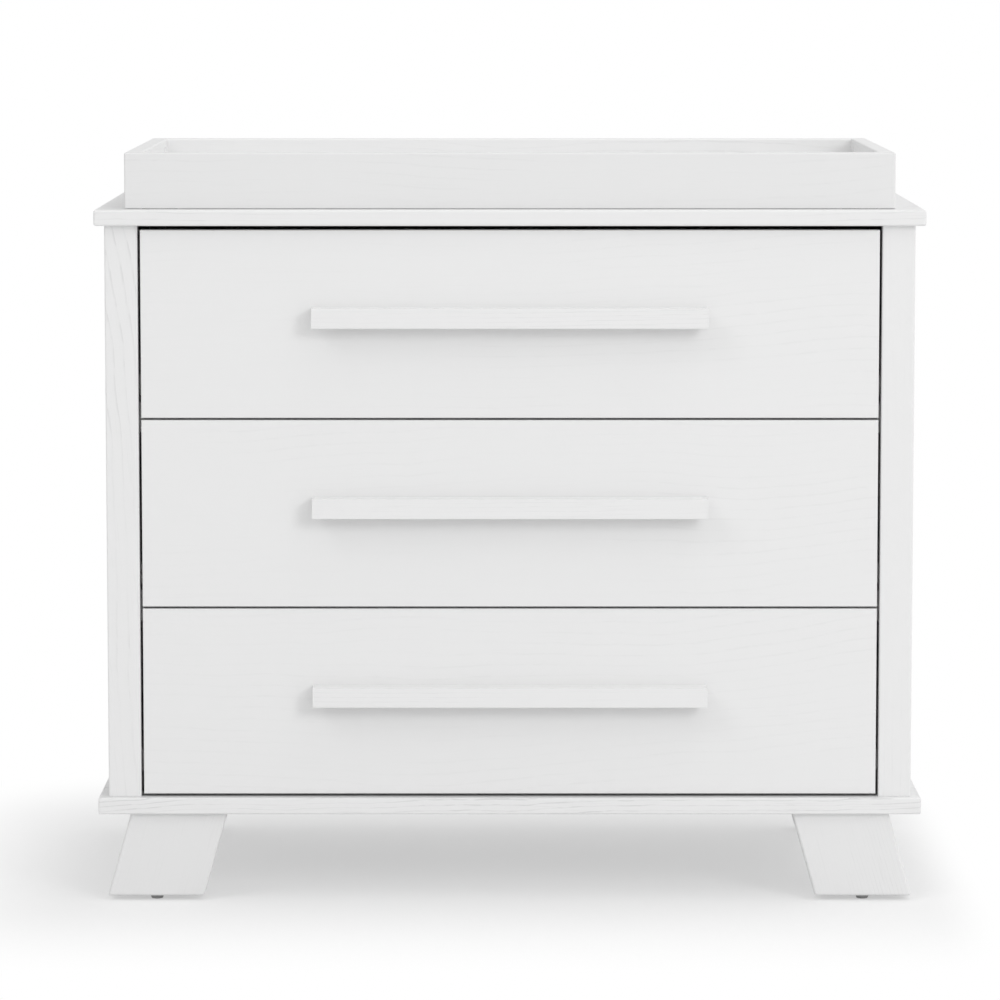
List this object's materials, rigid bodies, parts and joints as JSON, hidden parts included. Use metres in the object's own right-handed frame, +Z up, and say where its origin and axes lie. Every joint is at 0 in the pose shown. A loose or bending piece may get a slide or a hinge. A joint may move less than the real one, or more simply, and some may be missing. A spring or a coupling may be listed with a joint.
{
  "type": "changing dresser",
  "caption": "Chest of drawers for a nursery with long bar handles, splayed slab legs and a removable open changing tray on its top.",
  "frame": {"origin": "on the floor, under the middle of the whole piece with its handles", "axes": "+Z up, +X to the right of a person facing the drawers, drawers open towards -Y"},
  "size_m": [0.943, 0.506, 0.8587],
  "materials": {
    "white_lacquer": "white satin lacquer over open grain",
    "drawer_board": "white laminated board",
    "inner_frame": "white primed wood",
    "back_board": "white coated hardboard",
    "slide_steel": "white epoxy powder coat",
    "roller_nylon": "moulded nylon",
    "zinc_steel": "zinc plated",
    "glide_nylon": "grey nylon",
    "felt": "thin felt"
  },
  "bodies": {
    "carcass": {"top_panel": "white_lacquer", "base_panel": "white_lacquer", "left_side_panel": "white_lacquer", "right_side_panel": "white_lacquer", "left_front_post": "white_lacquer", "right_front_post": "white_lacquer", "rear_posts": "inner_frame", "runner_cleats": "inner_frame", "lower_front_rail": "inner_frame", "upper_front_rail": "inner_frame", "back_rails": "inner_frame", "back_panel": "back_board", "front_left_leg": "white_lacquer", "front_right_leg": "white_lacquer", "rear_left_leg": "white_lacquer", "rear_right_leg": "white_lacquer", "leg_glides": "glide_nylon", "leg_bolts": "zinc_steel", "bottom_drawer_cabinet_channels": "slide_steel", "middle_drawer_cabinet_channels": "slide_steel", "top_drawer_cabinet_channels": "slide_steel"},
    "bottom_drawer": {"bottom_drawer_front": "white_lacquer", "bottom_drawer_left_side": "drawer_board", "bottom_drawer_right_side": "drawer_board", "bottom_drawer_back": "drawer_board", "bottom_drawer_bottom": "drawer_board", "bottom_drawer_handle": "white_lacquer", "bottom_drawer_rails": "slide_steel"},
    "bottom_front_rollers": {"bottom_drawer_front_rollers": "roller_nylon"},
    "bottom_rear_rollers": {"bottom_drawer_rear_rollers": "roller_nylon"},
    "middle_drawer": {"middle_drawer_front": "white_lacquer", "middle_drawer_left_side": "drawer_board", "middle_drawer_right_side": "drawer_board", "middle_drawer_back": "drawer_board", "middle_drawer_bottom": "drawer_board", "middle_drawer_handle": "white_lacquer", "middle_drawer_rails": "slide_steel"},
    "middle_front_rollers": {"middle_drawer_front_rollers": "roller_nylon"},
    "middle_rear_rollers": {"middle_drawer_rear_rollers": "roller_nylon"},
    "top_drawer": {"top_drawer_front": "white_lacquer", "top_drawer_left_side": "drawer_board", "top_drawer_right_side": "drawer_board", "top_drawer_back": "drawer_board", "top_drawer_bottom": "drawer_board", "top_drawer_handle": "white_lacquer", "top_drawer_rails": "slide_steel"},
    "top_front_rollers": {"top_drawer_front_rollers": "roller_nylon"},
    "top_rear_rollers": {"top_drawer_rear_rollers": "roller_nylon"},
    "tray": {"tray_front": "white_lacquer", "tray_back": "white_lacquer", "tray_left_wall": "white_lacquer", "tray_right_wall": "white_lacquer", "tray_slats": "white_lacquer", "tray_pads": "felt", "tray_brackets": "zinc_steel"}
  },
  "joints": [
    {"name": "bottom_drawer_slide", "type": "slide", "parent": "carcass", "child": "bottom_drawer", "axis": [0, -1, 0], "range_m": [0, 0.3]},
    {"name": "bottom_front_rollers_spin", "type": "hinge", "parent": "carcass", "child": "bottom_front_rollers", "pos_m": [0, -0.192, 0.1595], "axis": [1, 0, 0], "continuous": true},
    {"name": "bottom_rear_rollers_spin", "type": "hinge", "parent": "bottom_drawer", "child": "bottom_rear_rollers", "pos_m": [0, 0.182, 0.1595], "axis": [1, 0, 0], "continuous": true},
    {"name": "middle_drawer_slide", "type": "slide", "parent": "carcass", "child": "middle_drawer", "axis": [0, -1, 0], "range_m": [0, 0.3]},
    {"name": "middle_front_rollers_spin", "type": "hinge", "parent": "carcass", "child": "middle_front_rollers", "pos_m": [0, -0.192, 0.3761], "axis": [1, 0, 0], "continuous": true},
    {"name": "middle_rear_rollers_spin", "type": "hinge", "parent": "middle_drawer", "child": "middle_rear_rollers", "pos_m": [0, 0.182, 0.3761], "axis": [1, 0, 0], "continuous": true},
    {"name": "top_drawer_slide", "type": "slide", "parent": "carcass", "child": "top_drawer", "axis": [0, -1, 0], "range_m": [0, 0.3]},
    {"name": "top_front_rollers_spin", "type": "hinge", "parent": "carcass", "child": "top_front_rollers", "pos_m": [0, -0.192, 0.5927], "axis": [1, 0, 0], "continuous": true},
    {"name": "top_rear_rollers_spin", "type": "hinge", "parent": "top_drawer", "child": "top_rear_rollers", "pos_m": [0, 0.182, 0.5927], "axis": [1, 0, 0], "continuous": true},
    {"name": "tray_lift", "type": "slide", "parent": "carcass", "child": "tray", "axis": [0, 0, 1], "range_m": [0, 0.12]}
  ],
  "couplings": [
    {"joint": "bottom_front_rollers_spin", "follows": "bottom_drawer_slide", "rad_per_m": 100},
    {"joint": "bottom_rear_rollers_spin", "follows": "bottom_drawer_slide", "rad_per_m": 100},
    {"joint": "middle_front_rollers_spin", "follows": "middle_drawer_slide", "rad_per_m": 100},
    {"joint": "middle_rear_rollers_spin", "follows": "middle_drawer_slide", "rad_per_m": 100},
    {"joint": "top_front_rollers_spin", "follows": "top_drawer_slide", "rad_per_m": 100},
    {"joint": "top_rear_rollers_spin", "follows": "top_drawer_slide", "rad_per_m": 100}
  ]
}
